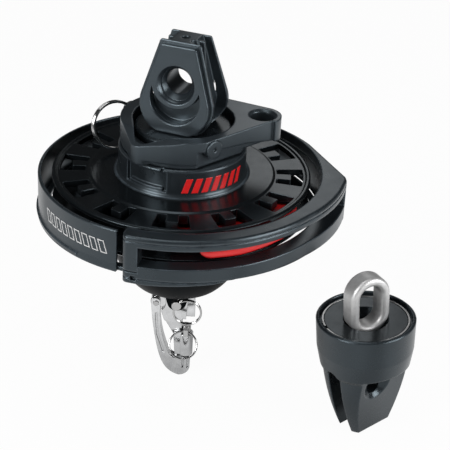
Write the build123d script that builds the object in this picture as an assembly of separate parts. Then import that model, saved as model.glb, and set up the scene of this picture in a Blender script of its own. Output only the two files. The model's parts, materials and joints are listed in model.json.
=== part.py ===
from build123d import *
import math
import os

os.makedirs("parts", exist_ok=True)

# Top-down furler: drum, line guard, tack swivel, torque line terminal, base, snap shackle
# and the separate head swivel. Millimetres, +Z up. Heights below are measured from the top
# face of the drum; save() then moves everything so that the load point of the snap shackle
# is the origin.

# Place of the drum axis seen from the load point
axis_x = 4.4
axis_rise = 98.0

# Fits
run_fit = 0.05
clear = 0.3

# Drum discs
drum_r = 64.5
disc_half = 9.0
spindle_r = 12.0
groove_hub_r = drum_r - 22.5
groove_lip_r = drum_r - 2.0
groove_hub_half = 2.5
groove_lip_half = 6.0
window_count = 12
window_turn = -1.9
window_out_r = drum_r - 3.75
window_in_r = drum_r - 16.9
window_arc = 17.6
tongue_r = drum_r - 9.75
tongue_arc = 6.4
drum_screw_r = groove_hub_r - 5.0
drum_screw_count = 6
drum_screw_head_r = 2.6
drum_screw_shank_r = 1.5
drum_screw_head = 2.0
drum_screw_long = 15.0

# Hub cover and neck
neck_r = 16.0
neck_top = 19.0
cover_r = 31.85
cover_wall = 3.0
cover_top = 14.4
cover_cove = 2.2

# Tack swivel plate
plate_top = 28.5
plate_low = 17.0
plate_hub_r = 31.0
plate_ring_r = 30.5
plate_ring_low = 15.0
recess_r = 25.0
tack_ball_r = 1.25
tack_ball_ring = 19.5
tack_ball_z = 16.85
tack_ball_count = 26
ear_x = 38.7
ear_y = 6.9
ear_r = 9.5
ear_hole_r = 6.0
lobe_x = -18.5
lobe_y = -22.5
lobe_r = 6.0
lobe_recess = (-16.8, -21.3, 5.6)
lobe_floor = 21.5
slope_start = 24.5
wall_dir = -47.0
wall_dist = 29.3
wall_under = 26.6
keeper_z = 20.9
keeper_r = 1.6
big_ring_r = 12.0
big_wire_r = 0.75
big_ring_at = (-35.2, 18.2, 13.6)
big_ring_across = (0.866, 0.5, 0.0)
big_ring_up = (-0.12, 0.208, 0.971)

# Terminal
terminal_turn = -19.5
term_low = 25.5
term_top = 70.0
term_side = 4.0
term_round_r = 15.0
term_round_z = 38.5
term_top_half = 10.55
term_thick_low = 29.75
term_thick_top = 19.5
cheek_plate = 2.5
cheek_inset = 1.4
term_bore_r = 6.5
term_bore_z = 50.0
term_bore_half = 7.35
term_flare_r = 9.8
term_boss_r = 12.3
socket_r = 24.0
socket_top = 25.0
tongue_w = 20.0
tongue_d = 12.0
tongue_low = 19.25

# Base
bowl_r = 34.2
seat_r = 26.0
bowl_top = -23.5
bowl_mid = -37.4
bowl_low = -62.0
neck_base_r = 22.5
clip_groove = 0.8
bushing_wall = 1.5
carrier_rim = 6.0
neck_base_top = -18.6
race_out_r = 15.0
clevis_z = -74.5
clevis_r = 2.5
fork_in = 3.0
fork_out = 7.0
fork_r = 5.0

# Line guard
guard_gap = 5.5
guard_in_r = drum_r + guard_gap
band_wall = 1.5
band_r = guard_in_r + band_wall
band_top = -0.4
band_low = -22.0
front_depth = 7.8
front_r = guard_in_r + front_depth
corner_reach = 4.7
corner_r = front_r + corner_reach
front_left = -107.8
front_corner = 3.0
front_top = 1.9
front_low = -22.5
front_low_right = -19.4
slot_top = -3.4
slot_low_left = -13.4
slot_low_right = -12.2
wall_face_dir = 27.0
wall_face_dist = guard_in_r + 3.0
guard_screw_r = guard_in_r + 3.6

# Snap shackle
barrel_x = 5.2
barrel_r = 3.9
barrel_top = -97.0
barrel_low = -110.0
hinge_x = -11.0
hinge_z = -78.0
hinge_pin_r = 1.4
gate_half = 3.1
shackle_half = 2.7
stem_r = 1.5
tip_r = 1.9

# Head swivel, in its own upright frame with z = 0 at the feet
swivel_at = (99.86, -35.79, -121.0)
swivel_lean = -3.98
swivel_r = 25.0
swivel_h = 62.7
fork_dir = -50.0
fork_slot_half = 4.3
fork_slot_top = 39.0
head_bearing_z = swivel_h - 11.4
eye_dir = -62.4
eye_half = 5.2
eye_r = 11.0
eye_section = 4.8
eye_low = head_bearing_z + 2.9
eye_span = 10.2


def save(name, shape):
    export_step(Pos(axis_x, 0, axis_rise) * shape, f"parts/{name}.step")


# Ring or disc standing on the axis
def ring(r_out, r_in, z0, z1):
    flat = Circle(r_out) - Circle(r_in) if r_in > 0 else Circle(r_out)
    return Pos(0, 0, z0) * extrude(flat, z1 - z0)


# Solid of revolution from (radius, height) points, over part of a turn when asked
def turned(points, start=0.0, arc=360.0):
    face = Plane.XZ * make_face(Polyline(*points, close=True))
    return Rot(0, 0, start) * revolve(face, Axis.Z, arc)


# Point on a circle about the axis
def polar(r, angle, z=0.0):
    a = math.radians(angle)
    return (r * math.cos(a), r * math.sin(a), z)


# Cylinder from one point towards a direction
def rod(start, way, r, length):
    return Plane(origin=start, z_dir=way) * extrude(Circle(r), length)


def ball(r, at):
    return Pos(*at) * Sphere(r)


def ball_ring(r, ring_r, z, count):
    return [ball(r, polar(ring_r, 360.0 * i / count, z)) for i in range(count)]


def torus(ring_r, r, z):
    return Pos(0, 0, z) * Torus(ring_r, r)


# Flat shape in the X-Z plane made thick along Y, from y0 to y1
def slab(flat, y0, y1):
    return Pos(0, y1, 0) * extrude(Plane.XZ * flat, y1 - y0)


def xz_poly(*points):
    return make_face(Polyline(*points, close=True))


# Outline round several circles given as (x, y, r)
def wrap(*circles):
    edges = ShapeList()
    for x, y, r in circles:
        edges += (Pos(x, y) * Circle(r)).edges()
    return make_hull(edges)


# Split ring of two coils, centre, unit normal and size given
def split_ring(centre, normal, ring_r, wire_r):
    lift = wire_r * 0.96
    place = Plane(origin=centre, z_dir=normal)
    return place * (Pos(0, 0, lift) * Torus(ring_r, wire_r) + Pos(0, 0, -lift) * Torus(ring_r, wire_r))


# DRUM DISCS
def disc_window():
    outer = turned([(window_in_r, -20), (window_out_r, -20), (window_out_r, 2), (window_in_r, 2)],
                   -window_arc / 2, window_arc)
    tongue = turned([(window_in_r - 1, -21), (tongue_r, -21), (tongue_r, 3), (window_in_r - 1, 3)],
                    -tongue_arc / 2, tongue_arc)
    cut = outer - tongue
    upright = [e for e in cut.edges().filter_by(Axis.Z)]
    return fillet(upright, 0.8)


window = disc_window()
windows = [Rot(0, 0, window_turn + 360.0 * i / window_count) * window for i in range(window_count)]

half_disc = turned([(spindle_r, 0), (groove_hub_r, 0), (groove_hub_r, groove_hub_half),
                    (groove_lip_r, groove_lip_half), (drum_r, groove_lip_half + 0.6),
                    (drum_r, disc_half - 0.8), (drum_r - 0.8, disc_half), (drum_r - 1.9, disc_half),
                    (drum_r - 2.6, disc_half - 0.7), (window_in_r - 0.8, disc_half - 0.7),
                    (window_in_r - 2.0, disc_half),
                    (spindle_r, disc_half)])
screw_spots = [polar(drum_screw_r, 15 + 360.0 * i / drum_screw_count) for i in range(drum_screw_count)]
screw_foot = -2 * disc_half
screw_set = []
screw_holes = []
for x, y, z in screw_spots:
    head = Pos(x, y, screw_foot) * extrude(Circle(drum_screw_head_r), drum_screw_head)
    shank = Pos(x, y, screw_foot) * extrude(Circle(drum_screw_shank_r), drum_screw_long)
    recess = Pos(x, y, screw_foot) * extrude(RegularPolygon(1.3, 6), 1.2)
    screw_set.append(head + shank - recess)
    screw_holes.append(Pos(x, y, screw_foot - 0.5) * extrude(Circle(drum_screw_head_r), drum_screw_head + 0.5)
                       + Pos(x, y, screw_foot) * extrude(Circle(drum_screw_shank_r), drum_screw_long))

upper_disc = Pos(0, 0, -disc_half) * half_disc
upper_disc += ring(neck_r, spindle_r, -0.5, neck_top)
upper_disc = upper_disc - windows - screw_holes
lower_disc = Pos(0, 0, -disc_half) * mirror(half_disc, Plane.XY)
lower_disc = lower_disc - screw_holes
save("upper_disc", upper_disc)
save("lower_disc", lower_disc)
save("drum_screws", Compound(children=screw_set))

# HUB COVER with its side pocket
cover = turned([(cover_r - cover_wall, 0), (cover_r, 0), (cover_r, cover_top - 0.8),
                (cover_r - 0.8, cover_top), (neck_r, cover_top), (neck_r, cover_top - 2.5),
                (cover_r - cover_wall, cover_top - 2.5)])
pocket = turned([(cover_r - 1.7, 2.4), (cover_r + 1, 2.4), (cover_r + 1, cover_top - 1.6),
                 (cover_r - 1.7, cover_top - 1.6)], -144, 43)
notch = turned([(cover_r - 1.7, cover_top - 3.4), (cover_r + 1, cover_top - 3.4),
                (cover_r + 1, cover_top + 1), (cover_r - 1.7, cover_top + 1)], -107, 3)
pocket_lip = turned([(cover_r - 1.8, 2.4), (cover_r - 0.2, 2.4), (cover_r - 0.2, 4.0),
                     (cover_r - 1.8, 4.6)], -140, 35)
cove_face = make_face(Wire([
    Line((cover_r - 1, 0), (cover_r + cover_cove, 0)),
    ThreePointArc((cover_r + cover_cove, 0), (cover_r + 0.293 * cover_cove, 0.293 * cover_cove),
                  (cover_r, cover_cove)),
    Line((cover_r, cover_cove), (cover_r - 1, cover_cove)), Line((cover_r - 1, cover_cove), (cover_r - 1, 0))]))
cove = revolve(Plane.XZ * cove_face, Axis.Z, 360)
save("hub_cover", cover + cove - pocket - notch + pocket_lip)

# SPINDLE, its nut and the terminal socket
save("main_spindle", turned([(0, -57), (6.4, -57), (7, -56.4), (7, -49), (8, -49), (8, -26), (10, -26),
                             (10, -20), (14, -20), (14, -18), (spindle_r, -18), (spindle_r, neck_top),
                             (8, neck_top), (8, 11.5), (0, 11.5)]))
nut = Pos(0, 0, -56) * extrude(RegularPolygon(12.5, 6), 7.0) - ring(7.0, 0, -57, -48)
save("spindle_nut", nut)

pin_z = keeper_z
pin_r = keeper_r
pin_half = 23.4
socket = turned([(0, 11.5), (8, 11.5), (8, neck_top), (socket_r, neck_top), (socket_r, socket_top - 1),
                 (socket_r - 1, socket_top), (0, socket_top)])
socket -= Rot(0, 0, terminal_turn) * Pos(0, 0, tongue_low) * extrude(Rectangle(tongue_w, tongue_d), 10)
socket -= Rot(0, 0, terminal_turn) * rod((-30, 0, pin_z), (1, 0, 0), pin_r, 60)
save("terminal_socket", socket)
cross_pin = Rot(0, 0, terminal_turn) * rod((-pin_half, 0, pin_z), (1, 0, 0), pin_r, 2 * pin_half)
save("terminal_pin", cross_pin)

# TERMINAL: core with cable grooves and two cheek plates
# Outline set in by an amount, with its top edge at a height
def term_flat(inset, top, low=None):
    x, y = term_side, term_top_half - inset - 1.2
    rounds = [(-x, term_round_z, term_round_r - inset), (x, term_round_z, term_round_r - inset),
              (-y, top - 1.2, 1.2), (y, top - 1.2, 1.2)]
    return wrap(*rounds, *([low] if low else []))


cheek_flat = term_flat(0, term_top)
inner_flat = term_flat(cheek_inset, term_top - 1.5)


# Wedge whose half thickness shrinks from foot to top
def wedge(half_low, half_top, width=60.0):
    flat = make_face(Polyline((-half_low, term_low), (half_low, term_low), (half_top, term_top),
                              (-half_top, term_top), close=True))
    return Pos(-width / 2, 0, 0) * extrude(Plane.YZ * flat, width)


full_half_low = term_thick_low / 2
full_half_top = term_thick_top / 2
core_wedge = wedge(full_half_low - cheek_plate, full_half_top - cheek_plate)
whole_wedge = wedge(full_half_low, full_half_top)
core = slab(cheek_flat, -20, 20) & core_wedge
bore_cut = rod((0, -30, term_bore_z), (0, 1, 0), term_bore_r, 60)
face_y = full_half_low - (full_half_low - full_half_top) * (term_bore_z - term_low) / (term_top - term_low)
flare_depth = face_y - term_bore_half
flare = Pos(0, -face_y + flare_depth / 2, term_bore_z) * (Rot(90, 0, 0) * Cone(
    term_bore_r, term_flare_r, flare_depth))
flare_far = mirror(flare, Plane.XZ)
dish = Pos(0, -face_y - 3.0, term_bore_z) * (Rot(90, 0, 0) * Cylinder(term_flare_r, 6.0))
dish_far = mirror(dish, Plane.XZ)
crescent_flat = Pos(0, term_bore_z - 7.2) * Circle(term_boss_r + 0.6) - Pos(0, term_bore_z) * Circle(term_boss_r)
crescent_flat = crescent_flat & Pos(0, term_bore_z - 20) * Rectangle(60, 40)
crescent = slab(crescent_flat, -30, -7.9)
crescent_far = mirror(crescent, Plane.XZ)
groove_ratio = 0.66
groove_in = 5.6
groove_foot = 26.5
groove_round = full_half_low * groove_ratio
groove_wedge = wedge(full_half_low * groove_ratio, full_half_top * groove_ratio)
keep_flat = term_flat(groove_in, term_top + 5.2, (0, 20.0, 9.0))
side_groove = slab(make_face(Polyline((-30, groove_foot), (30, groove_foot), (30, 90), (-30, 90), close=True))
                   - keep_flat, -20, 20) & groove_wedge
groove_end = Pos(0, 0, groove_foot + groove_round) * (Rot(0, 90, 0) * Cylinder(groove_round, 80))
low_part = Pos(0, 0, groove_foot + groove_round / 2) * Box(80, 40, groove_round)
side_groove = side_groove - (low_part - groove_end)
top_notch = Pos(6.0, -3.5, term_top - 4.0) * extrude(Circle(2.1), 8.0)
top_notch += Pos(9.0, -3.5, term_top) * Box(6.0, 4.2, 8.0)
screw_x = -0.4
screw_r = 2.0
screw_low = term_bore_z + term_bore_r + 3.0
top_hole = Pos(screw_x, -0.1, screw_low) * extrude(Circle(screw_r), 14)
tongue = Pos(0, 0, tongue_low) * extrude(Rectangle(tongue_w, tongue_d), 8.5)
core = core - side_groove - crescent - crescent_far
web_flat = make_face(Polyline((4.2, 55.0), (10.6, 56.0), (9.2, 69.2), (4.2, 69.2), close=True))
core = core + (slab(web_flat, 0.0, 1.8) + slab(mirror(web_flat, Plane.YZ), 0.0, 1.8))
core = core - top_notch - top_hole - bore_cut - flare - flare_far - dish - dish_far
core = core + (tongue - rod((-30, 0, pin_z), (1, 0, 0), pin_r, 60))
save("terminal_core", Rot(0, 0, terminal_turn) * core)

cheek_front = (slab(inner_flat, -20, 0) & whole_wedge) - core_wedge
cheek_front = cheek_front - bore_cut - flare - dish - crescent
cheek_rear = (slab(inner_flat, 0, 20) & whole_wedge) - core_wedge
cheek_rear = cheek_rear - bore_cut - flare_far - dish_far - crescent_far
save("front_cheek", Rot(0, 0, terminal_turn) * cheek_front)
save("rear_cheek", Rot(0, 0, terminal_turn) * cheek_rear)
set_screw = Pos(screw_x, -0.1, screw_low) * extrude(Circle(screw_r), 7.0) - Pos(
    screw_x, -0.1, screw_low + 4.6) * extrude(RegularPolygon(1.1, 6), 3)
save("cable_set_screw", Rot(0, 0, terminal_turn) * set_screw)

# TACK SWIVEL PLATE
plate_flat = wrap((0, 0, plate_hub_r), (lobe_x, lobe_y, lobe_r), (ear_x, ear_y, ear_r))
plate = Pos(0, 0, plate_low) * extrude(plate_flat, plate_top - plate_low)
plate += ring(plate_ring_r, 0, plate_ring_low, plate_low + 1)
plate += Pos(lobe_x, lobe_y, plate_ring_low) * extrude(Circle(lobe_r), 3)
wall_in = Rot(0, 0, wall_dir)
plate -= wall_in * (Pos(wall_dist + 10, 0, 22) * Box(20, 66, 20))
arch = [(-14.0, 14), (-14.0, 23.3), (5.0, 21.8), (17.0, 20.7), (26.0, 18.8), (36.0, 17.2), (36.0, 14)]
arch_face = make_face(Polyline(*arch, close=True))
arch_cut = wall_in * (Pos(wall_under, 0, 0) * extrude(Plane.YZ * arch_face, 20))
plate -= arch_cut
slope = Rot(0, 0, -122) * (Pos(slope_start, 0, plate_top) * (Rot(0, 21.8, 0) * (Pos(15, 0, 6) * Box(34, 90, 12))))
plate -= slope
plate -= ring(recess_r, 0, neck_top - clear, plate_top + 1)
plate -= Pos(0, 0, lobe_floor) * extrude(wrap((0, 0, recess_r), lobe_recess), 10)
plate -= ring(tack_ball_ring + 0.2, 0, 10, 30)
plate -= torus(tack_ball_ring, tack_ball_r + run_fit, tack_ball_z)
plate -= Pos(ear_x, ear_y, 10) * extrude(Circle(ear_hole_r), 30)
sink = Pos(ear_x, ear_y, plate_top - 0.6) * Cone(ear_hole_r, ear_hole_r + 1.2, 1.2)
plate -= sink
plug_s = -5.7
plug_z = 23.6
plug_r = 4.6
plug_place = wall_in * (Pos(wall_under, plug_s, plug_z) * (Rot(0, 90, 0) * extrude(Circle(plug_r), 8)))
plate -= plug_place
ring_turn = math.asin((keeper_z - big_ring_at[2]) / (big_ring_r * big_ring_up[2]))
across = Vector(*big_ring_across)
ring_up = Vector(*big_ring_up)
hook = Vector(*big_ring_at) + (across * math.cos(ring_turn) + ring_up * math.sin(ring_turn)) * big_ring_r
keeper_dir = math.degrees(math.atan2(hook.Y, hook.X))
keeper_reach = math.hypot(hook.X, hook.Y)
plate -= Rot(0, 0, keeper_dir) * rod((20, 0, keeper_z), (1, 0, 0), keeper_r + run_fit, 20)
save("tack_plate", plate)

plug = wall_in * (Pos(wall_under, plug_s, plug_z) * (Rot(0, 90, 0) * (
    extrude(Circle(plug_r), 3.6) - Pos(0, 0, 2.6) * extrude(Circle(1.0), 2))))
plug = plug - ring(recess_r + 0.4, 0, 10, 40)
save("filler_plug", plug)

tack_race = ring(tack_ball_ring - 0.2, neck_r, cover_top, neck_top)
tack_race -= torus(tack_ball_ring, tack_ball_r + run_fit, tack_ball_z)
save("tack_race", tack_race)
save("tack_balls", Compound(children=ball_ring(tack_ball_r, tack_ball_ring, tack_ball_z, tack_ball_count)))

# KEEPER PIN with its large ring: it closes the way out of the terminal pin
pin_way = Vector(*polar(1.0, keeper_dir))
ring_tan = ring_up * math.cos(ring_turn) - across * math.sin(ring_turn)
hole_way = (ring_tan - pin_way * ring_tan.dot(pin_way)).normalized()
keeper = rod(tuple(pin_way * (socket_r + 0.5) + Vector(0, 0, keeper_z)), tuple(pin_way), keeper_r,
             keeper_reach - 2.6 - socket_r - 0.5)
tab = Plane(origin=tuple(hook - hole_way * 0.9), z_dir=tuple(hole_way)) * (extrude(Circle(3.7), 1.8))
keeper = keeper + tab - Plane(origin=tuple(hook - hole_way * 3), z_dir=tuple(hole_way)) * extrude(
    Circle(2.5), 6)
save("keeper_pin", keeper)
save("keeper_ring", split_ring(big_ring_at, tuple(across.cross(ring_up)), big_ring_r, big_wire_r))

# BASE: bearing housing, bowl with fork, bearings
housing = turned([(race_out_r, neck_base_top), (neck_base_r, neck_base_top), (neck_base_r, -18.9),
                  (neck_base_r - clip_groove, -18.9), (neck_base_r - clip_groove, -19.6),
                  (neck_base_r, -19.6), (neck_base_r, bowl_top),
                  (seat_r, bowl_top), (seat_r, -44), (17, -44), (17, -41), (11.5, -41), (11.5, -36),
                  (race_out_r, -36)])
save("bearing_housing", housing)

bowl_profile = Polyline((seat_r, bowl_top), (bowl_r - 1, bowl_top), (bowl_r, bowl_top - 1), (bowl_r, bowl_mid))
arc_mid = (math.sqrt(bowl_r ** 2 - 13.5 ** 2), bowl_mid - 13.5)
arc_end = (math.sqrt(bowl_r ** 2 - (bowl_mid - bowl_low) ** 2), bowl_low)
bowl_arc = ThreePointArc((bowl_r, bowl_mid), arc_mid, arc_end)
bowl_rest = Polyline(arc_end, (0, bowl_low), (0, -58), (19, -58), (19, -44), (seat_r, -44),
                     (seat_r, bowl_top))
bowl = revolve(Plane.XZ * make_face(bowl_profile + bowl_arc + bowl_rest), Axis.Z, 360)
ear_flat = wrap((0, clevis_z, fork_r), (-7.5, bowl_low + 0.5, 1.5), (7.5, bowl_low + 0.5, 1.5))
for y0, y1 in ((-fork_out, -fork_in), (fork_in, fork_out)):
    bowl += slab(ear_flat, y0, y1)
bowl -= rod((0, -20, clevis_z), (0, 1, 0), clevis_r + run_fit, 40)
save("base_bowl", bowl)

radial_z = -31.0
radial_ring = 11.5
radial_ball_r = 2.0
inner_race = ring(10.4, 8.0, -36, -26) - torus(radial_ring, radial_ball_r + run_fit, radial_z)
outer_race = ring(race_out_r, 12.6, -36, -26) - torus(radial_ring, radial_ball_r + run_fit, radial_z)
save("radial_inner_race", inner_race)
save("radial_outer_race", outer_race)
save("radial_balls", Compound(children=ball_ring(radial_ball_r, radial_ring, radial_z, 16)))

thrust_z = -45.0
thrust_ring = 12.5
thrust_ball_r = 1.7
washer_up = ring(16.0, 8.5, -43.4, -41) - torus(thrust_ring, thrust_ball_r + run_fit, thrust_z)
washer_low = ring(16.0, 8.0, -49, -46.6) - torus(thrust_ring, thrust_ball_r + run_fit, thrust_z)
save("thrust_washer_upper", washer_up)
save("thrust_washer_lower", washer_low)
save("thrust_balls", Compound(children=ball_ring(thrust_ball_r, thrust_ring, thrust_z, 20)))

clip = ring(neck_base_r + bushing_wall + 0.3, neck_base_r - clip_groove, -19.6, -18.9)
clip -= Pos(neck_base_r + 0.5, 0, -19.2) * Box(6, 4, 3)
save("guard_clip", clip)

# LINE GUARD
bushing_r = neck_base_r + bushing_wall
flange_r = seat_r - 0.4
bushing = turned([(neck_base_r + run_fit, -23.2), (flange_r, -23.2), (flange_r, -22.9), (bushing_r, -22.9),
                  (bushing_r, -19.9), (neck_base_r + run_fit, -19.9)])
save("guard_bushing", bushing)
carrier_r = guard_in_r - 3.5
carrier_hub_r = bushing_r + carrier_rim
spoke_in = carrier_hub_r - 0.75
spoke_mid = (spoke_in + carrier_r + 1.25) / 2
spoke_long = carrier_r + 1.25 - spoke_in
carrier = ring(carrier_hub_r, bushing_r, -22.9, -20.0) + ring(guard_in_r, carrier_r, -22.0, -20.0)
for i in range(6):
    carrier += Rot(0, 0, 18 + 60 * i) * (Pos(spoke_mid, 0, -21.0) * Box(spoke_long, 8, 2.0))
carrier -= [Rot(0, 0, 18 + 60 * i) * (Pos(spoke_mid, 0, -21.0) * Box(spoke_long - 14.5, 3.4, 4)) for i in range(6)]
save("guard_carrier", carrier)

band = turned([(guard_in_r, band_low), (band_r + 0.5, band_low), (band_r, band_low + 4), (band_r, band_top - 0.5),
               (band_r - 0.5, band_top), (guard_in_r, band_top)], 45, 203.2)
band += turned([(guard_in_r, -21.9), (band_r + 0.4, -21.9), (band_r + 1.0, -19.5), (guard_in_r, -19.5)], 62, 168)
save("guard_band", band)


# Plan outline of the front moulding, its outer face set in by an amount
def front_plan(inset=0.0):
    turn = math.degrees(front_corner / front_r)
    left = [polar(front_r - front_corner, front_left)[:2],
            polar(front_r - 0.293 * front_corner - inset, front_left + 0.293 * turn)[:2]]
    p = [polar(front_r - inset, a)[:2] for a in (front_left + turn, -75, -37)]
    q = [polar(r - inset, a)[:2] for r, a in ((front_r + 2.4, -20), (corner_r - 0.4, -6.5))]
    s = [polar(r - inset, a)[:2] for r, a in ((corner_r, -4.4), (corner_r - 0.6, -1.8))]
    flat_end = polar(wall_face_dist - inset, wall_face_dir)[:2]
    t = [polar(r - inset, a)[:2] for r, a in ((band_r + 0.8, 36), (band_r, 45))]
    back = [polar(guard_in_r, a)[:2] for a in (45, -33.75, front_left)]
    edges = [ThreePointArc(left[0], left[1], p[0]), ThreePointArc(*p), ThreePointArc(p[2], q[0], q[1]),
             ThreePointArc(q[1], s[0], s[1]), Line(s[1], flat_end), ThreePointArc(flat_end, t[0], t[1]),
             Line(t[1], back[0]), ThreePointArc(*back), Line(back[2], left[0])]
    return make_face(Wire(edges))


# Slice of the front moulding whose outer face leans in from one height to the next
def front_slice(z0, inset0, z1, inset1):
    return loft([Pos(0, 0, z0) * front_plan(inset0), Pos(0, 0, z1) * front_plan(inset1)], ruled=True)


far = 300.0
lip = 1.4
front_face = front_plan()
front_block = Pos(0, 0, front_low) * extrude(front_face, front_top - front_low - lip)
front_block += front_slice(front_top - lip, 0, front_top - 0.5, 0.35)
front_block += front_slice(front_top - 0.5, 0.35, front_top, 1.1)
rim_groove = Pos(0, 0, front_top - 2.9) * extrude(front_face - front_plan(0.7), 0.6)
low_groove = Pos(0, 0, front_low + 2.2) * extrude(front_face - front_plan(0.6), 0.7)
outer_grooves = (rim_groove + low_groove) - ring(wall_face_dist, 0, -40, 20)
front_block -= outer_grooves
low_steps = [(polar(front_r, a)[0], z) for a, z in ((-100, front_low - 0.1), (-82, front_low + 1.1),
                                                  (-76, front_low + 1.4), (-68, front_low_right))]
low_shape = xz_poly(*low_steps, (far, front_low_right), (far, -far), (low_steps[0][0], -far))
front_block -= slab(low_shape, -far, far)

slot_mid = (slot_low_left + slot_low_right) / 2
ring_in = guard_in_r - 10
ring_out = corner_r + 8
slot_ring = turned([(ring_in, slot_low_left - 0.5), (ring_out, slot_low_left - 0.5), (ring_out, slot_top),
                    (ring_in, slot_top)], -102, 97)
slope_ang = math.degrees(math.atan2(slot_low_right - slot_low_left, 89.0))
slot_floor = Pos(28.5, 0, slot_mid - 15) * (Rot(0, -slope_ang, 0) * Box(far, far, 30))
slot_cut = slot_ring - slot_floor

above = Pos(0, 0, slot_top + far / 2) * Box(far, far, far)
seam_z = -16.5
post_from = front_left - 0.1
post_arc = -102 - post_from
upper_zone = above + turned([(ring_in, seam_z), (ring_out, seam_z), (ring_out, slot_top + 1),
                             (ring_in, slot_top + 1)], post_from, post_arc)
guard_upper = (front_block & upper_zone) - slot_cut
guard_lower = (front_block - upper_zone) - slot_cut
post_notch = turned([(front_r - 1.2, seam_z - 0.35), (ring_out, seam_z - 0.35), (ring_out, seam_z + 0.35),
                     (front_r - 1.2, seam_z + 0.35)], post_from, post_arc)
side_notch = turned([(front_r - 2, -21.0), (ring_out, -21.0), (ring_out, -18.6), (front_r - 2, -18.6)],
                    -104.5, 2.0)
guard_screw_spots = [polar(guard_screw_r, -105.0, front_low), polar(guard_screw_r + 0.4, 8.0, front_low_right)]
screw_group = []
for x, y, z in guard_screw_spots:
    screw_group.append(Pos(x, y, z) * extrude(Circle(1.2), 3.0))
strip_in = groove_hub_r + 3.5
strip_mid = groove_lip_r + 0.5
strip_out = front_r - 1.6
stripper = turned([(strip_in, -10.0), (strip_in, -8.0), (strip_mid, -4.9), (guard_in_r + 0.3, slot_top),
                   (strip_out - 0.6, slot_top), (strip_out, slot_top - 0.8), (strip_out, -8.0),
                   (strip_mid, -12.6)], -81, 37.4)
stripper += turned([(strip_in, -10.0), (strip_in, -8.0), (strip_mid - 1.5, -5.2), (strip_mid - 1.5, -12.2)],
                   -92, 72)
save("line_stripper", stripper)
for a in (-72.0, -52.0):
    x, y, z = polar(guard_screw_r - 0.6, a)
    screw_group.append(Pos(x, y, slot_top) * extrude(Circle(1.2), 4.0))

save("guard_front_upper", guard_upper - post_notch - [Pos(*polar(guard_screw_r - 0.6, a, slot_top)) * extrude(
    Circle(1.2), 4.0) for a in (-72.0, -52.0)])
save("guard_front_lower", guard_lower - post_notch - side_notch - [Pos(x, y, z) * extrude(
    Circle(1.2), 3.0) for x, y, z in guard_screw_spots])
save("guard_screws", Compound(children=screw_group))

# SNAP SHACKLE
eye_hole = rod((0, -20, clevis_z), (0, 1, 0), clevis_r + run_fit, 40)
hinge_arm = wrap((0, clevis_z - 0.8, 5.8), (hinge_x, hinge_z, 3.0))
upper_plate = wrap((0, clevis_z - 0.8, 5.8), (-6.6, -82.6, 1.6), (-5.3, -87.5, 1.4), (3.6, -88.0, 1.4))
lower_plate = xz_poly((-6.7, -87.0), (4.0, -86.4), (4.0, -98.0), (2.4, -109.6), (-0.4, -109.6), (-1.4, -96.5))
body = slab(upper_plate, -shackle_half, shackle_half) + slab(lower_plate, -shackle_half, shackle_half)
body += slab(hinge_arm, -shackle_half, shackle_half)
body += slab(xz_poly((3.0, -72.5), (7.6, -73.6), (9.6, -77.0), (9.6, -87.3), (3.0, -87.3)), 0.4, shackle_half)
body -= Pos(barrel_x, 0, -97.0) * extrude(Circle(3.4), 9.7)
body -= Pos(barrel_x, -6, -92.2) * Box(3.6, 12, 9.7)
body += Pos(barrel_x, 0, barrel_low) * extrude(Circle(barrel_r), barrel_top - barrel_low)
body -= Pos(barrel_x, 0, -108.5) * extrude(Circle(3.0), 10.0)
body -= Pos(barrel_x, 0, barrel_low - 1) * extrude(Circle(tip_r + run_fit), 4)
body -= Pos(barrel_x, 0, -99) * extrude(Circle(stem_r + run_fit), 4)
body -= eye_hole
tongue_half = 1.3
around_hinge = rod((hinge_x, -20, hinge_z), (0, 1, 0), 5.2, 40)
body -= around_hinge & (Pos(0, -20 - tongue_half, 0) * Box(60, 40, 300))
body -= around_hinge & (Pos(0, 20 + tongue_half, 0) * Box(60, 40, 300))
body -= rod((hinge_x, -20, hinge_z), (0, 1, 0), hinge_pin_r, 40)
save("shackle_body", body)

# Gate: a curved limb with a long groove, its end under the barrel
outer_curve = Spline((-13.6, -76.0), (-12.9, -86.0), (-11.4, -97.0), (-9.2, -108.0), (-4.4, -118.6), (2.2, -122.6))
nose = ThreePointArc((2.2, -122.6), (5.7, -121.2), (7.9, -117.4))
end_line = Polyline((7.9, -117.4), (7.9, -112.0), (1.9, -112.0))
inner_curve = Spline((1.9, -112.0), (-1.6, -111.4), (-4.9, -105.6), (-7.3, -97.0), (-8.6, -86.0), (-8.6, -78.0))
cap = ThreePointArc((-8.6, -78.0), (-10.9, -75.0), (-13.6, -76.0))
gate_flat = make_face(Wire([outer_curve, nose, *end_line.edges(), inner_curve, cap]))
gate = slab(gate_flat, -gate_half, gate_half)
gate -= rod((hinge_x, -20, hinge_z), (0, 1, 0), hinge_pin_r + run_fit, 40)
gate -= slab(Pos(hinge_x, hinge_z) * Circle(5.8), -tongue_half - clear, tongue_half + clear)
groove_path = xz_poly((-11.3, -84.0), (-10.3, -84.0), (-9.3, -97.0), (-6.0, -108.0), (-6.9, -108.6),
                      (-10.4, -97.2))
gate -= slab(groove_path, -gate_half - 1, -gate_half + 0.9)
for x in (4.1, 6.7):
    gate -= Pos(x, -gate_half, -115.0) * Box(0.8, 2.0, 6.0)
gate -= Pos(barrel_x, 0, -112.35) * Cone(1.15, 1.66, 0.7)
save("shackle_gate", gate)
rivet = rod((hinge_x, -gate_half - 0.4, hinge_z), (0, 1, 0), hinge_pin_r, 2 * gate_half + 0.8)
save("gate_rivet", rivet)

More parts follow.
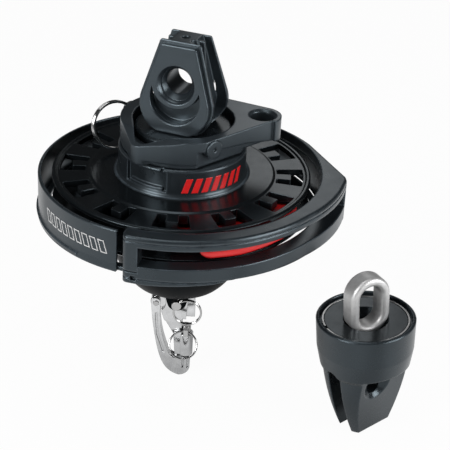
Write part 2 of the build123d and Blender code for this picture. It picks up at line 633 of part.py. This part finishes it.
clevis = rod((0, -10.9, clevis_z), (0, 1, 0), clevis_r, 18.4)
clevis += rod((0, fork_out + 0.02, clevis_z), (0, 1, 0), 3.7, 1.7)
small_ring_r = 7.2
small_wire_r = 0.5
pin_hang = Vector(0.8, 0, -0.6).normalized()
pin_hole_way = Vector(0.6, 0, 0.8).normalized()
pin_hook = Vector(0, -9.2, clevis_z)
clevis -= rod(tuple(pin_hook - pin_hole_way * 5), tuple(pin_hole_way), 1.45, 10)
save("clevis_pin", clevis)
save("clevis_ring", split_ring(tuple(pin_hook + pin_hang * small_ring_r), (0, -1, 0), small_ring_r, small_wire_r))

plunger_hook = Vector(barrel_x, -3.6, -94.5)
plunger = Pos(barrel_x, 0, -96.7) * extrude(Circle(2.6), 4.4)
plunger += Pos(barrel_x, -2.9, -94.5) * Box(2.4, 5.0, 3.9)
plunger += Pos(barrel_x, 0, -107.0) * extrude(Circle(stem_r), 11.0)
plunger += Pos(barrel_x, 0, -108.4) * extrude(Circle(3.0 - run_fit), 1.5)
plunger += Pos(barrel_x, 0, -111.6) * extrude(Circle(tip_r), 3.4)
plunger += Pos(barrel_x, 0, -112.0) * Cone(1.1, tip_r, 0.8)
plunger -= rod((barrel_x - 6, -3.6, -94.5), (1, 0, 0), 1.5, 12)
save("plunger", plunger)
pull_ring_r = 7.3
pull_hang = Vector(-0.15, -0.53, -0.835).normalized()
pull_normal = Vector(1, 0, 0).cross(pull_hang).normalized()
save("plunger_ring", split_ring(tuple(plunger_hook + pull_hang * pull_ring_r), tuple(pull_normal),
                                pull_ring_r, small_wire_r))

spring_low = -106.88
spring_top = -98.52
spring_wire = 0.4
spring_path = Helix(pitch=(spring_top - spring_low - 2 * spring_wire) / 5, radius=2.35,
                    height=spring_top - spring_low - 2 * spring_wire, center=(0, 0, spring_low + spring_wire))
spring_face = Plane(origin=spring_path @ 0, z_dir=spring_path % 0) * Circle(spring_wire)
spring = sweep(spring_face, path=spring_path)
save("plunger_spring", Pos(barrel_x, 0, 0) * spring)


# HEAD SWIVEL
def stand(shape):
    return Pos(*swivel_at) * (Rot(0, swivel_lean, 0) * shape)


shoulder = 36.0
top_r = swivel_r - 0.5
rim_r = swivel_r - 1.8
bore_in = swivel_r - 6.0
rim_floor = swivel_h - 2.5
cavity_floor = head_bearing_z - 9.3
side = Spline((0.516 * swivel_r, 0), (0.73 * swivel_r, 17.0), (0.856 * swivel_r, shoulder - 1))
rise = Spline((0.856 * swivel_r + 1.4, shoulder + 1), (0.94 * swivel_r, shoulder + 5), (top_r, 47.0))
shell = [side, Line((0.856 * swivel_r, shoulder - 1), (0.856 * swivel_r + 1.4, shoulder + 1)), rise]
shell += Polyline((top_r, 47.0), (swivel_r, swivel_h - 0.8), (swivel_r - 0.8, swivel_h), (rim_r, swivel_h),
                  (rim_r, rim_floor), (bore_in, rim_floor), (bore_in, cavity_floor), (0, cavity_floor), (0, 0),
                  (0.516 * swivel_r, 0)).edges()
swivel = revolve(Plane.XZ * make_face(Wire(shell)), Axis.Z, 360)
flat_low = 7.7
flat_rate = 0.2
flat_cut = make_face(Polyline((flat_low - flat_rate, -1), (flat_low + flat_rate * shoulder, shoulder),
                              (flat_low + flat_rate * shoulder + 1.2, shoulder + 1.2), (40, shoulder + 6), (40, -1),
                              close=True))
cheek_cut = slab(flat_cut, -40, 40)
fork_in_turn = Rot(0, 0, fork_dir)
swivel -= fork_in_turn * cheek_cut
swivel -= fork_in_turn * (Rot(0, 0, 180) * cheek_cut)
slot_round_z = fork_slot_top - fork_slot_half
slot_flat = make_face(Polyline((-fork_slot_half, -1), (fork_slot_half, -1), (fork_slot_half, 30),
                               (-fork_slot_half, 30), close=True)) + Pos(0, 30) * Circle(fork_slot_half)
slot_flat += make_face(Polyline((-fork_slot_half, 25), (fork_slot_half, 25), (fork_slot_half, slot_round_z),
                                (-fork_slot_half, slot_round_z), close=True)) + Pos(0, slot_round_z) * Circle(
                                    fork_slot_half)
swivel -= fork_in_turn * slab(slot_flat, -40, 40)
leg_bore_z = 28.0
leg_bore_y = -4.0
leg_bore_r = 4.0
leg_mouth_r = 8.5
leg_mouth = 3.0
face_d = flat_low + flat_rate * leg_bore_z
leg_axis = Pos(0, leg_bore_y, leg_bore_z)
swivel -= fork_in_turn * (leg_axis * (Rot(0, 90, 0) * Cylinder(leg_bore_r, 60)))
for flip in (1, -1):
    wide = 2 * leg_mouth_r - leg_bore_r
    cone = Cone(leg_bore_r, wide, 2 * leg_mouth) if flip > 0 else Cone(wide, leg_bore_r, 2 * leg_mouth)
    swivel -= fork_in_turn * (Pos(flip * face_d, leg_bore_y, leg_bore_z) * (Rot(0, 90, 0) * cone))
save("swivel_housing", stand(swivel))

plate_foot = head_bearing_z + 1.2
dish_floor = head_bearing_z + 2.5
dish_r = eye_r + 0.4
flange_top = rim_floor + 0.8
cover_plate = turned([(5.0 + run_fit, plate_foot), (bore_in, plate_foot), (bore_in, rim_floor),
                      (rim_r - 2.3, rim_floor), (rim_r - 2.3, flange_top), (dish_r, flange_top),
                      (dish_r - 3.4, dish_floor), (5.0 + run_fit, dish_floor)])
cover_plate -= torus(9.4, 2.0 + run_fit, head_bearing_z)
save("swivel_cover_plate", stand(cover_plate))
snap_ring = ring(rim_r - 1.2, rim_r - 2.2, rim_floor, rim_floor + 1.0)
snap_ring -= Rot(0, 0, 200) * (Pos(21, 0, 61) * Box(6, 3, 4))
save("swivel_snap_ring", stand(snap_ring))
save("swivel_balls", stand(Compound(children=ball_ring(2.0, 9.4, head_bearing_z, 14))))

eye_mid = eye_low + eye_r + eye_span / 2
stadium = Pos(0, eye_mid) * SlotOverall(eye_span + 2 * eye_r, 2 * eye_r, rotation=90)
hole = Pos(0, eye_mid) * SlotOverall(eye_span + 2 * eye_r - 2 * eye_section, 2 * (eye_r - eye_section), rotation=90)
eye = slab(stadium - hole, -eye_half, eye_half)
eye = fillet(eye.edges().filter_by(lambda e: abs(abs(e.center().Y) - eye_half) < 0.01), 2.1)
eye = Rot(0, 0, eye_dir + 90) * eye
eye += Pos(0, 0, head_bearing_z - 7) * extrude(Circle(5.0), eye_low - head_bearing_z + 9.5)
save("swivel_eye", stand(eye))
swivel_nut = ring(12.5, 5.0, head_bearing_z - 7, head_bearing_z - 1.2)
swivel_nut -= torus(9.4, 2.0 + run_fit, head_bearing_z)
save("swivel_nut", stand(swivel_nut))
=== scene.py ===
import bpy
import bmesh
import json
import math
from mathutils import Matrix, Vector


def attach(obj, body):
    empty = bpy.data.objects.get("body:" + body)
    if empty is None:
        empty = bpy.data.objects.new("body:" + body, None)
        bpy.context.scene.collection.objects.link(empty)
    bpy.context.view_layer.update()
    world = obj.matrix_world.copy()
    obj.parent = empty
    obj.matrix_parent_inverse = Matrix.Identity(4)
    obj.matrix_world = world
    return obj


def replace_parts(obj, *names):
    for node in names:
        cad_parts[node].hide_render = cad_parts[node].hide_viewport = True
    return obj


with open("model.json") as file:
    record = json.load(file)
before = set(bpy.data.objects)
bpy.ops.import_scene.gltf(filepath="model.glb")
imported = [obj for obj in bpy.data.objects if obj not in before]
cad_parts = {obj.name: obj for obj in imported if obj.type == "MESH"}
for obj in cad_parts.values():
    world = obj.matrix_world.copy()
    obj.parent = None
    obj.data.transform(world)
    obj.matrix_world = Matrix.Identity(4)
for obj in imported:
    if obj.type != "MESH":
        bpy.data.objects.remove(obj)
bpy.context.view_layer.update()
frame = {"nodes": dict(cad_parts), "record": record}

mm = 0.001
axisX, topZ = 4.4, 98.0  # drum axis and top face of the drum in this frame, in mm
print("furler: frame loaded,", len(frame["nodes"]), "solids")


def spot(x, y, z):       # drum coordinates in mm to metres in the frame
    return Vector(((x + axisX) * mm, y * mm, (z + topZ) * mm))


# camera: looks down at the front, drum unit left of centre; degrees, photo pixels and mm
viewer = {
    "pitch": 28.78, "roll": 3.03, "focalPx": 1400.0, "framePx": 450.0,
    "aimPx": (181.9, 168.63), "distance": 700.0,
}


def makeCamera():
    pitch, roll = math.radians(viewer["pitch"]), math.radians(viewer["roll"])
    right = Vector((1, 0, 0))
    up = Vector((0, math.sin(pitch), math.cos(pitch)))
    back = Vector((0, -math.cos(pitch), math.sin(pitch)))
    turnedRight = math.cos(roll) * right + math.sin(roll) * up
    turnedUp = math.cos(roll) * up - math.sin(roll) * right
    half, focal, dist = viewer["framePx"] / 2, viewer["focalPx"], viewer["distance"]
    aside = (viewer["aimPx"][0] - half) / focal * dist
    above = -(viewer["aimPx"][1] - half) / focal * dist
    place = back * dist - turnedRight * aside - turnedUp * above
    lens = bpy.data.cameras.new("camera")
    lens.sensor_width = 36.0
    lens.lens = focal / viewer["framePx"] * lens.sensor_width
    lens.clip_start, lens.clip_end = 0.01, 50.0
    camera = bpy.data.objects.new("camera", lens)
    basis = Matrix((turnedRight, turnedUp, back)).transposed().to_4x4()
    camera.matrix_world = Matrix.Translation(spot(*place)) @ basis
    bpy.context.scene.collection.objects.link(camera)
    bpy.context.scene.camera = camera


makeCamera()
bpy.context.scene.view_settings.view_transform = "Standard"
print("furler: camera placed")


# shader maths on sockets, and one way to make any other node
class Flow:
    def __init__(self, tree, socket):
        self.tree, self.socket = tree, socket

    def math(self, operation, first, second=None):
        step = self.tree.nodes.new("ShaderNodeMath")
        step.operation = operation
        for slot, value in zip(step.inputs, (first, second)):
            if isinstance(value, Flow):
                self.tree.links.new(value.socket, slot)
            elif value is not None:
                slot.default_value = value
        return Flow(self.tree, step.outputs[0])

    def __add__(self, other):
        return self.math("ADD", self, other)

    def __radd__(self, other):
        return self.math("ADD", other, self)

    def __sub__(self, other):
        return self.math("SUBTRACT", self, other)

    def __rsub__(self, other):
        return self.math("SUBTRACT", other, self)

    def __mul__(self, other):
        return self.math("MULTIPLY", self, other)

    def __rmul__(self, other):
        return self.math("MULTIPLY", other, self)

    def __truediv__(self, other):
        return self.math("DIVIDE", self, other)

    def __rtruediv__(self, other):
        return self.math("DIVIDE", other, self)

    def __pow__(self, other):
        return self.math("POWER", self, other)

    def clamp(self):
        return self.math("MAXIMUM", self.math("MINIMUM", self, 1.0), 0.0)


class Finish:            # the nodes of one material, or of the world
    def __init__(self, owner):
        owner.use_nodes = True
        self.owner, self.tree = owner, owner.node_tree
        self.tree.nodes.clear()

    def node(self, kind, settings=None, inputs=None, out=0):
        made = self.tree.nodes.new("ShaderNode" + kind)
        for key, value in (settings or {}).items():
            if key == "stops":
                for element, (place, colour) in zip(made.color_ramp.elements, value):
                    element.position = place
                    element.color = (*colour, 1)
            else:
                setattr(made, key, value)
        for key, value in (inputs or {}).items():
            slot = made.inputs[key]
            if isinstance(value, Flow):
                self.tree.links.new(value.socket, slot)
            else:
                slot.default_value = value
        return Flow(self.tree, made.outputs[out])

    def close(self, surface, kind="OutputMaterial"):
        end = self.tree.nodes.new("ShaderNode" + kind)
        self.tree.links.new(surface.socket, end.inputs["Surface"])
        return self.owner


def grey(value, tint=(1.0, 1.0, 1.0)):
    return tuple(value * t for t in tint)


# what a finish has unless its own look says otherwise; edge and bump in mm
plainLook = {
    "driftScale": 60.0, "grainScale": 2200.0, "smudgeScale": 140.0, "driftShare": 0.7, "grainDepth": 0.5,
    "bump": 0.02, "bumpStrength": 0.5, "edge": 0.35, "rubAndHighlight": 0.5, "rubAndHighlightGain": 6.0, "patchGain": 1.6,
    "patchFloor": 0.35, "rubShine": 0.08, "roughDrift": 0.12, "metallic": 0.0, "specular": 0.5,
    "shine": (1.0, 1.0, 1.0),
}


# one recipe for the hard finishes: tone drift, fine grain and a coloured edge that is partly rubbed wear and
# partly a painted highlight (a painted dark reflection on stainless)
def hardFinish(name, ownLook):
    look = {**plainLook, **ownLook}
    f = Finish(bpy.data.materials.new(name))
    place = f.node("TexCoord", out="Object")
    drift = f.node("TexNoise", {}, {"Vector": place, "Scale": look["driftScale"], "Detail": 3.0})
    grain = f.node("TexNoise", {}, {"Vector": place, "Scale": look["grainScale"], "Detail": 2.0,
                                    "Roughness": 0.6})
    smudge = f.node("TexNoise", {}, {"Vector": place, "Scale": look["smudgeScale"], "Detail": 4.0,
                                     "Roughness": 0.65})
    rounded = f.node("Bevel", {"samples": 8}, {"Radius": look["edge"] * mm})
    plain = f.node("NewGeometry", out="Normal")
    bend = f.node("VectorMath", {"operation": "DOT_PRODUCT"}, {0: rounded, 1: plain}, out="Value")
    patches = (smudge * look["patchGain"] - look["patchFloor"]).clamp()
    # edge mask: where the rounded normal turns from the flat one, in patches; it paints the edge colour,
    # partly real rubbing and partly a painted highlight along the edges
    rubAndHighlight = ((1.0 - bend) * look["rubAndHighlightGain"]).clamp() * patches
    bump = f.node("Bump", {}, {"Height": grain * look["grainDepth"], "Distance": look["bump"] * mm,
                               "Strength": look["bumpStrength"], "Normal": rounded})
    colour = f.node("ValToRGB", {"stops": [(0.25, look["dark"]), (0.75, look["light"])]},
                    {"Fac": drift * look["driftShare"] + grain * (1.0 - look["driftShare"])})
    colour = f.node("Mix", {"data_type": "RGBA"},
                    {0: rubAndHighlight * look["rubAndHighlight"], 6: colour, 7: (*look["wornAndReflection"], 1)}, out=2)
    rough = look["rough"] + (smudge - 0.5) * look["roughDrift"] - rubAndHighlight * look["rubShine"]
    return f.close(f.node("BsdfPrincipled", {}, {
        "Base Color": colour, "Roughness": rough, "Normal": bump, "IOR": 1.5, "Metallic": look["metallic"],
        "Specular IOR Level": look["specular"], "Specular Tint": (*look["shine"], 1)}))


slate = (0.80, 1.0, 1.18)     # the blacks lean a little to blue
cool = (0.74, 0.90, 1.0)      # and so does their shine
steel = (0.99, 1.0, 1.01)
# edge colours lighter than the body are partly wear and partly painted highlight; the darker stainless edge
# colour is a painted dark reflection
finishLooks = {
    "drum_black": dict(dark=grey(0.003, slate), light=grey(0.006, slate), wornAndReflection=grey(0.06, slate),
                       rough=0.24, roughDrift=0.14, specular=0.50, shine=cool, grainScale=2600.0, bump=0.012,
                       edge=0.5, rubAndHighlight=0.45),
    "composite_black": dict(dark=grey(0.010, slate), light=grey(0.018, slate), wornAndReflection=grey(0.17, slate),
                            rough=0.29, specular=0.70, shine=cool, grainScale=1900.0, bump=0.014,
                            edge=1.2, rubAndHighlight=0.6),
    "swivel_grey": dict(dark=grey(0.015, slate), light=grey(0.028, slate), wornAndReflection=grey(0.14, slate),
                        rough=0.31, roughDrift=0.06, specular=0.90, shine=cool, grainScale=2400.0,
                        bump=0.012, edge=1.1, rubAndHighlight=0.45),
    "base_black": dict(dark=grey(0.008, slate), light=grey(0.016, slate), wornAndReflection=grey(0.18, slate),
                       rough=0.28, roughDrift=0.10, specular=0.62, shine=cool, grainScale=2400.0, bump=0.014,
                       edge=1.2, rubAndHighlight=0.35),
    "stainless": dict(dark=grey(0.48, steel), light=grey(0.74, steel), wornAndReflection=grey(0.12), metallic=1.0,
                      rough=0.15, driftScale=180.0, grainScale=1500.0, edge=0.5, rubAndHighlight=0.9, rubAndHighlightGain=9.0),
    "ring_wire": dict(dark=grey(0.44), light=grey(0.60), wornAndReflection=grey(0.70), metallic=1.0, rough=0.16,
                      roughDrift=0.10, grainScale=2600.0, bump=0.006, edge=0.15),
    "bearing_steel": dict(dark=grey(0.60), light=grey(0.68), wornAndReflection=grey(0.8), metallic=1.0, rough=0.12,
                          roughDrift=0.05, bump=0.003, edge=0.2),
    "spindle_steel": dict(dark=grey(0.42), light=grey(0.56), wornAndReflection=grey(0.75), metallic=1.0, rough=0.30,
                          roughDrift=0.10, bump=0.01, edge=0.3),
    "stripper_red": dict(dark=(0.52, 0.010, 0.012), light=(0.66, 0.020, 0.020), wornAndReflection=(0.80, 0.10, 0.09),
                         rough=0.22, roughDrift=0.08, grainScale=1200.0, bump=0.008, edge=0.6, rubAndHighlight=0.2),
    "bushing_pale": dict(dark=(0.60, 0.59, 0.55), light=(0.72, 0.71, 0.67), wornAndReflection=(0.80, 0.79, 0.75),
                         rough=0.45),
    "screw_black": dict(dark=grey(0.014), light=grey(0.024), wornAndReflection=grey(0.2), rough=0.34, edge=0.2),
    # finishes of single pieces and of the print; the bowl's finish is base_black made darker and less shiny,
    # painted shade for the bowl under the guard
    "eye_satin": dict(dark=grey(0.50), light=grey(0.70), wornAndReflection=grey(0.82), metallic=0.72, rough=0.46,
                      roughDrift=0.16, driftScale=260.0, grainScale=900.0, bump=0.04, edge=0.8, rubAndHighlight=0.6),
    "bowl_shaded_black": dict(dark=grey(0.002, slate), light=grey(0.004, slate), wornAndReflection=grey(0.05, slate),
                       rough=0.40, roughDrift=0.10, specular=0.05, shine=cool, grainScale=2400.0, bump=0.014,
                       edge=0.5, rubAndHighlight=0.35),
    "print_white": dict(dark=grey(0.55), light=grey(0.70), wornAndReflection=grey(0.45), rough=0.45, bump=0.004,
                        edge=0.1),
}
# the bowl takes the darkened copy of base_black: painted shade
ownFinish = {"swivel_eye": "eye_satin", "base_bowl": "bowl_shaded_black", "swivel_snap_ring": "spindle_steel",
             "swivel_cover_plate": "drum_black"}
finishes = {name: hardFinish(name, look) for name, look in finishLooks.items()}
slotOf = {row["node"]: row["material_slot"] for row in frame["record"]["subparts"]}
for node, thing in frame["nodes"].items():
    mesh = thing.data
    mesh.materials.clear()
    mesh.materials.append(finishes[ownFinish.get(node, slotOf[node])])
print("furler: finishes on", len(slotOf), "solids")


# marks printed on the curved bands: plain slanted bars, sizes in mm and degrees
printSink = 0.05         # how far a mark reaches into its band, in mm


def polar(radius, angle, height):
    a = math.radians(angle)
    return spot(radius * math.cos(a), radius * math.sin(a), height)


# closed pad on an upright cylinder; corners as (angle, z): low left, low right, high right, high left
def curvedPad(bm, mark, corners, across=6):
    (a0, z0), (a1, z1), (a2, z2), (a3, z3) = corners
    rows = []
    for radius in (mark["radius"] - printSink, mark["radius"] + mark["lift"]):
        for isHigh in (False, True):
            row = []
            for i in range(across + 1):
                t = i / across
                low = (a0 + (a1 - a0) * t, z0 + (z1 - z0) * t)
                high = (a3 + (a2 - a3) * t, z3 + (z2 - z3) * t)
                angle, height = high if isHigh else low
                row.append(bm.verts.new(polar(radius, angle, height)))
            rows.append(row)
    inLow, inHigh, outLow, outHigh = rows
    for i in range(across):
        bm.faces.new((outLow[i], outLow[i + 1], outHigh[i + 1], outHigh[i]))
        bm.faces.new((inHigh[i], inHigh[i + 1], inLow[i + 1], inLow[i]))
        bm.faces.new((inLow[i], inLow[i + 1], outLow[i + 1], outLow[i]))
        bm.faces.new((outHigh[i], outHigh[i + 1], inHigh[i + 1], inHigh[i]))
    bm.faces.new((inLow[0], outLow[0], outHigh[0], inHigh[0]))
    bm.faces.new((outLow[-1], inLow[-1], inHigh[-1], outHigh[-1]))


def slantedBar(mark, left, wide):      # corners of one bar over the whole height of a mark
    low, high, slant = mark["low"], mark["high"], mark["slant"]
    return (left, low), (left + wide, low), (left + wide + slant, high), (left + slant, high)


def addMesh(name, bm, finish, body):
    bmesh.ops.recalc_face_normals(bm, faces=bm.faces)
    mesh = bpy.data.meshes.new(name)
    bm.to_mesh(mesh)
    bm.free()
    mesh.materials.append(finish)
    piece = bpy.data.objects.new(name, mesh)
    bpy.context.scene.collection.objects.link(piece)
    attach(piece, body)
    return piece


hubMark = {
    "radius": 31.85, "lift": 0.12, "from": -88.0, "to": -26.0, "bars": 7, "low": 2.6, "high": 10.2,
    "slant": 4.5, "fill": 0.66,
}


def makeHubMark():
    bm = bmesh.new()
    pitch = (hubMark["to"] - hubMark["from"]) / hubMark["bars"]
    for i in range(hubMark["bars"]):
        curvedPad(bm, hubMark, slantedBar(hubMark, hubMark["from"] + pitch * i, pitch * hubMark["fill"]))
    return addMesh("hub_red_bars", bm, finishes["stripper_red"], "drum")


makeHubMark()

bandMark = {
    "radius": 71.55, "lift": 0.10, "from": -150.0, "to": -114.5, "bars": 9, "low": -14.0, "high": -7.6,
    "slant": -1.6, "fill": 0.62, "line": 0.42, "endLine": 0.504,
}


def makeBandMark():                    # each bar is an outline: two uprights and two ends
    bm = bmesh.new()
    pitch = (bandMark["to"] - bandMark["from"]) / bandMark["bars"]
    wide, line = pitch * bandMark["fill"], bandMark["line"]
    ends = ((bandMark["low"], 0.0), (bandMark["high"] - line, bandMark["slant"]))
    for i in range(bandMark["bars"]):
        left = bandMark["from"] + pitch * i
        for side in (0.0, wide):
            curvedPad(bm, bandMark, slantedBar(bandMark, left + side, line), 2)
        for z, lean in ends:
            a, b, top = left + lean, left + lean + wide + line, z + bandMark["endLine"]
            curvedPad(bm, bandMark, ((a, z), (b, z), (b, top), (a, top)), 3)
    return addMesh("band_pale_bars", bm, finishes["print_white"], "guard")


makeBandMark()
print("furler: printed bars made")


# red line guide in the slot: a lens-shaped lip with a round left end, on part of a ring inside
stripper = {
    "from": -81.0, "to": -43.6, "steps": 44,                      # where the lip runs, in degrees
    "inner": 45.5, "middle": 63.0, "guard": 70.3, "outer": 76.2,  # its radii in mm
    "under": -10.0, "over": -8.0, "bend": -4.9, "top": -3.4, "deep": 5.3, "drawBack": 0.5,
    "footHigh": -6.2, "footLow": -5.0, "footDeep": 7.6,
    "roundEnd": 0.13, "pointFrom": 0.42, "thinnest": 0.06,        # shares of its run and of its height
    "ringFrom": -92.0, "ringTo": -20.0, "ringOuter": 61.5, "ringOver": -5.2, "ringUnder": -12.2,
}
# outer face of the lip, from its top edge down: mm in from the edge, share of the drop
lipCurve = ((1.0, 0.0), (0.35, 0.10), (0.05, 0.28), (0.02, 0.5), (0.35, 0.76), (1.1, 0.94), (2.4, 1.0))


def sweep(bm, start, end, steps, profile):      # closed body from sections turned about the drum axis
    rows = [[bm.verts.new(polar(r, start + (end - start) * i / steps, z)) for r, z in profile(i / steps)]
            for i in range(steps + 1)]
    count = len(rows[0])
    for low, high in zip(rows, rows[1:]):
        for j in range(count):
            bm.faces.new((low[j], low[(j + 1) % count], high[(j + 1) % count], high[j]))
    bm.faces.new(rows[0])
    bm.faces.new(rows[-1])


def lipProfile(t):                     # t runs from the round left end to the long point on the right
    left = math.sqrt(max(0.0, 1.0 - (1.0 - min(t / stripper["roundEnd"], 1.0)) ** 2))
    point = stripper["pointFrom"]
    taper = max(0.0, 1.0 - max(t - point, 0.0) / (1.0 - point)) ** 0.5
    full = max(stripper["thinnest"], left * taper)
    inner, middle, top = stripper["inner"], stripper["middle"], stripper["top"]
    edge, drop = stripper["outer"] - stripper["drawBack"] * (1.0 - full), stripper["deep"] * full
    lip = [(edge - inset, top - share * drop) for inset, share in lipCurve]
    foot = min(stripper["footHigh"], stripper["footLow"] - stripper["footDeep"] * full)
    root = [(inner, stripper["under"]), (inner, stripper["over"]), (middle, stripper["bend"])]
    return [*root, (stripper["guard"], top), *lip, (middle, foot)]


def ringProfile(t):                    # the same section all the way round
    inner, outer = stripper["inner"], stripper["ringOuter"]
    return [(inner, stripper["under"]), (inner, stripper["over"]),
            (outer, stripper["ringOver"]), (outer, stripper["ringUnder"])]


def makeStripper():
    bm = bmesh.new()
    sweep(bm, stripper["from"], stripper["to"], stripper["steps"], lipProfile)
    sweep(bm, stripper["ringFrom"], stripper["ringTo"], stripper["steps"], ringProfile)
    for face in bm.faces:
        face.smooth = len(face.verts) == 4       # the lip's end caps stay flat
    return addMesh("stripper_lens", bm, finishes["stripper_red"], "guard")


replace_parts(makeStripper(), "line_stripper")
print("furler: line guide shaped")


# floor and world, distances in metres
stage = {
    "size": 6.0, "floorZ": -24.75 * mm, "matte": 0.62, "cameraShare": 0.965,
    "whiteReach": 0.42, "white": 1.05, "beyond": 0.05,     # a white table, and the darker room beyond it
    "paintedShadowReach": 0.04, "paintedShadow": 0.6,                      # a painted shadow of the part on the table, seen only in reflections
    "bandWay": (0.86, 0.5, 0.0), "bandDepth": 0.8,
    "bands": ((0.055, 0.030), (-0.13, 0.028)),             # middle and reach of each dark band
    "world": 0.14, "worldCamera": 0.86, "worldGlossy": 0.10,
}


def falloff(value, middle, reach, power):      # 1 at the middle, falling to 0 past the reach
    return 1.0 / (((value - middle) / reach) ** power + 1.0)


# the camera sees a plain white floor; metal sees it glowing, with a painted shadow under the part and two
# dark bands for contrast
def makeFloor():
    bm = bmesh.new()
    bmesh.ops.create_grid(bm, x_segments=1, y_segments=1, size=stage["size"] / 2)
    mesh = bpy.data.meshes.new("floor")
    bm.to_mesh(mesh)
    bm.free()
    floor = bpy.data.objects.new("floor", mesh)
    floor.location = (0.0, 0.0, stage["floorZ"])
    bpy.context.scene.collection.objects.link(floor)
    f = Finish(bpy.data.materials.new("pale_floor"))
    camera = f.node("LightPath", out="Is Camera Ray")
    glossy = f.node("LightPath", out="Is Glossy Ray")
    spread = f.node("TexCoord", out="Object")
    away = f.node("VectorMath", {"operation": "LENGTH"}, {0: spread}, out="Value")
    along = f.node("VectorMath", {"operation": "DOT_PRODUCT"}, {0: spread, 1: stage["bandWay"]}, out="Value")
    table = falloff(away, 0.0, stage["whiteReach"], 4.0) * stage["white"] + stage["beyond"]
    table = table * (1.0 - stage["paintedShadow"] * falloff(away, 0.0, stage["paintedShadowReach"], 3.0))
    dark = [stage["bandDepth"] * falloff(along, middle, reach, 4.0) for middle, reach in stage["bands"]]
    table = table * (1.0 - dark[0] - dark[1])
    seen = (camera * stage["cameraShare"] + glossy * table).clamp()
    matte = f.node("BsdfDiffuse", {}, {"Color": (*grey(stage["matte"]), 1)})
    glow = f.node("Emission", {}, {"Color": (1, 1, 1, 1), "Strength": 1.0})
    floor.data.materials.append(f.close(f.node("MixShader", {}, {0: seen, 1: matte, 2: glow})))


def makeWorld():
    f = Finish(bpy.data.worlds.new("studio"))
    camera = f.node("LightPath", out="Is Camera Ray")
    glossy = f.node("LightPath", out="Is Glossy Ray")
    strength = stage["world"] + camera * stage["worldCamera"] - glossy * stage["worldGlossy"]
    sky = f.node("Background", {}, {"Color": (1, 1, 1, 1), "Strength": strength})
    bpy.context.scene.world = f.close(sky, "OutputWorld")


makeFloor()
makeWorld()

# soft square lamps: place, aim and side in metres, power in watts
lamps = {
    "top_box": dict(place=(-0.18, -0.14, 1.10), aim=(0.0, 0.0, 0.08), size=0.6, power=2.8),
    "front_left": dict(place=(-0.80, -0.75, 0.55), aim=(0.0, 0.0, 0.06), size=0.5, power=9.5),
    "right_fill": dict(place=(0.90, -0.45, 0.40), aim=(0.02, 0.0, 0.04), size=0.6, power=9.0),
    "back_right": dict(place=(0.085, 0.46, 0.345), aim=(0.04, 0.0, 0.10), size=0.15, power=0.10),
}
for name, lamp in lamps.items():
    light = bpy.data.lights.new(name, "AREA")
    light.size, light.energy = lamp["size"], lamp["power"]
    holder = bpy.data.objects.new(name, light)
    holder.location = lamp["place"]
    way = Vector(lamp["aim"]) - Vector(lamp["place"])
    holder.rotation_euler = way.to_track_quat("-Z", "Y").to_euler()
    bpy.context.scene.collection.objects.link(holder)
print("furler: floor and lamps set")
